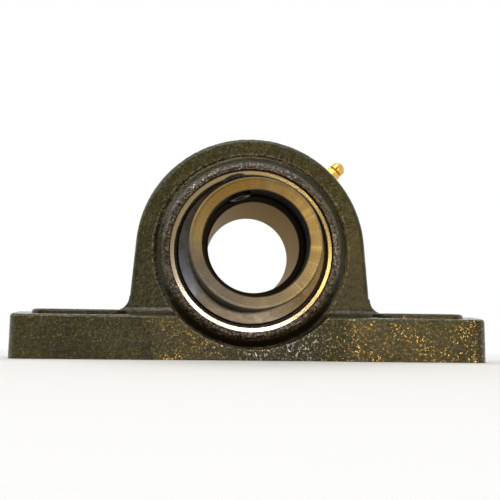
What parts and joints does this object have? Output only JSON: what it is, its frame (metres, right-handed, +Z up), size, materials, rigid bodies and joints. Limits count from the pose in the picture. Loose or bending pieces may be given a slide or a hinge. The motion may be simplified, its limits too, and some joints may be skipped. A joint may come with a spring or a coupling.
{
  "type": "pillow block bearing",
  "caption": "Low cast pillow block with a self-aligning ball bearing insert, an eccentric locking collar, slotted feet and a grease nipple.",
  "frame": {"origin": "centre of the base face, below the middle of the bearing", "axes": "+X along the base, -Y along the shaft towards the locking collar, +Z up from the base"},
  "size_m": [0.1634, 0.0511, 0.0804],
  "materials": {
    "enamel": "gloss enamel on rough casting",
    "brass": "turned",
    "ring_steel": "ground",
    "collar_steel": "turned",
    "flinger_steel": "pressed, zinc plated",
    "screw_steel": "black oxide",
    "ball_steel": "polished",
    "cage_steel": "pressed",
    "seal_rubber": "matte"
  },
  "bodies": {
    "housing": {"housing": "enamel", "grease_nipple": "brass", "nipple_spring": "ring_steel"},
    "check_ball": {"nipple_ball": "ball_steel"},
    "outer_race": {"outer_ring": "ring_steel", "seal_shield_front": "cage_steel", "seal_shield_rear": "cage_steel", "seal_lip_front": "seal_rubber", "seal_lip_rear": "seal_rubber"},
    "inner_race": {"inner_ring": "ring_steel", "flinger_front": "flinger_steel", "flinger_rear": "flinger_steel"},
    "cage": {"cage_front": "cage_steel", "cage_rear": "cage_steel", "cage_rivets": "cage_steel"},
    "ball_1": {"ball_1": "ball_steel"},
    "ball_2": {"ball_2": "ball_steel"},
    "ball_3": {"ball_3": "ball_steel"},
    "ball_4": {"ball_4": "ball_steel"},
    "ball_5": {"ball_5": "ball_steel"},
    "ball_6": {"ball_6": "ball_steel"},
    "ball_7": {"ball_7": "ball_steel"},
    "ball_8": {"ball_8": "ball_steel"},
    "ball_9": {"ball_9": "ball_steel"},
    "collar": {"locking_collar": "collar_steel"},
    "set_screw": {"collar_set_screw": "screw_steel"}
  },
  "joints": [
    {"name": "insert_tilt", "type": "hinge", "parent": "housing", "child": "outer_race", "pos_m": [0, 0, 0.0389], "axis": [1, 0, 0], "range_deg": [-3, 3]},
    {"name": "shaft_spin", "type": "hinge", "parent": "outer_race", "child": "inner_race", "pos_m": [0, 0, 0.0389], "axis": [0, 1, 0], "continuous": true},
    {"name": "cage_spin", "type": "hinge", "parent": "outer_race", "child": "cage", "pos_m": [0, 0, 0.0389], "axis": [0, 1, 0], "continuous": true},
    {"name": "ball_1_roll", "type": "hinge", "parent": "cage", "child": "ball_1", "pos_m": [0, 0, 0.0619], "axis": [0, 1, 0], "continuous": true},
    {"name": "ball_2_roll", "type": "hinge", "parent": "cage", "child": "ball_2", "pos_m": [-0.01478, 0, 0.05652], "axis": [0, 1, 0], "continuous": true},
    {"name": "ball_3_roll", "type": "hinge", "parent": "cage", "child": "ball_3", "pos_m": [-0.02265, 0, 0.04289], "axis": [0, 1, 0], "continuous": true},
    {"name": "ball_4_roll", "type": "hinge", "parent": "cage", "child": "ball_4", "pos_m": [-0.01992, 0, 0.0274], "axis": [0, 1, 0], "continuous": true},
    {"name": "ball_5_roll", "type": "hinge", "parent": "cage", "child": "ball_5", "pos_m": [-0.00787, 0, 0.01729], "axis": [0, 1, 0], "continuous": true},
    {"name": "ball_6_roll", "type": "hinge", "parent": "cage", "child": "ball_6", "pos_m": [0.00787, 0, 0.01729], "axis": [0, 1, 0], "continuous": true},
    {"name": "ball_7_roll", "type": "hinge", "parent": "cage", "child": "ball_7", "pos_m": [0.01992, 0, 0.0274], "axis": [0, 1, 0], "continuous": true},
    {"name": "ball_8_roll", "type": "hinge", "parent": "cage", "child": "ball_8", "pos_m": [0.02265, 0, 0.04289], "axis": [0, 1, 0], "continuous": true},
    {"name": "ball_9_roll", "type": "hinge", "parent": "cage", "child": "ball_9", "pos_m": [0.01478, 0, 0.05652], "axis": [0, 1, 0], "continuous": true},
    {"name": "collar_lock", "type": "hinge", "parent": "inner_race", "child": "collar", "pos_m": [0, 0, 0.0389], "axis": [0, 1, 0], "range_deg": [-18, 18]},
    {"name": "set_screw_drive", "type": "slide", "parent": "collar", "child": "set_screw", "axis": [-0.309, 0, 0.9511], "range_m": [-0.0007, 0.003]},
    {"name": "check_ball_lift", "type": "slide", "parent": "housing", "child": "check_ball", "axis": [-0.7071, 0, -0.7071], "range_m": [0, 0.0008], "stiffness_N_per_m": 150, "springref_m": -0.0004, "deforming": ["nipple_spring"]}
  ],
  "couplings": [
    {"joint": "cage_spin", "follows": "shaft_spin", "ratio": 0.39647},
    {"joint": "ball_1_roll", "follows": "shaft_spin", "ratio": -2.3112},
    {"joint": "ball_2_roll", "follows": "shaft_spin", "ratio": -2.3112},
    {"joint": "ball_3_roll", "follows": "shaft_spin", "ratio": -2.3112},
    {"joint": "ball_4_roll", "follows": "shaft_spin", "ratio": -2.3112},
    {"joint": "ball_5_roll", "follows": "shaft_spin", "ratio": -2.3112},
    {"joint": "ball_6_roll", "follows": "shaft_spin", "ratio": -2.3112},
    {"joint": "ball_7_roll", "follows": "shaft_spin", "ratio": -2.3112},
    {"joint": "ball_8_roll", "follows": "shaft_spin", "ratio": -2.3112},
    {"joint": "ball_9_roll", "follows": "shaft_spin", "ratio": -2.3112}
  ]
}
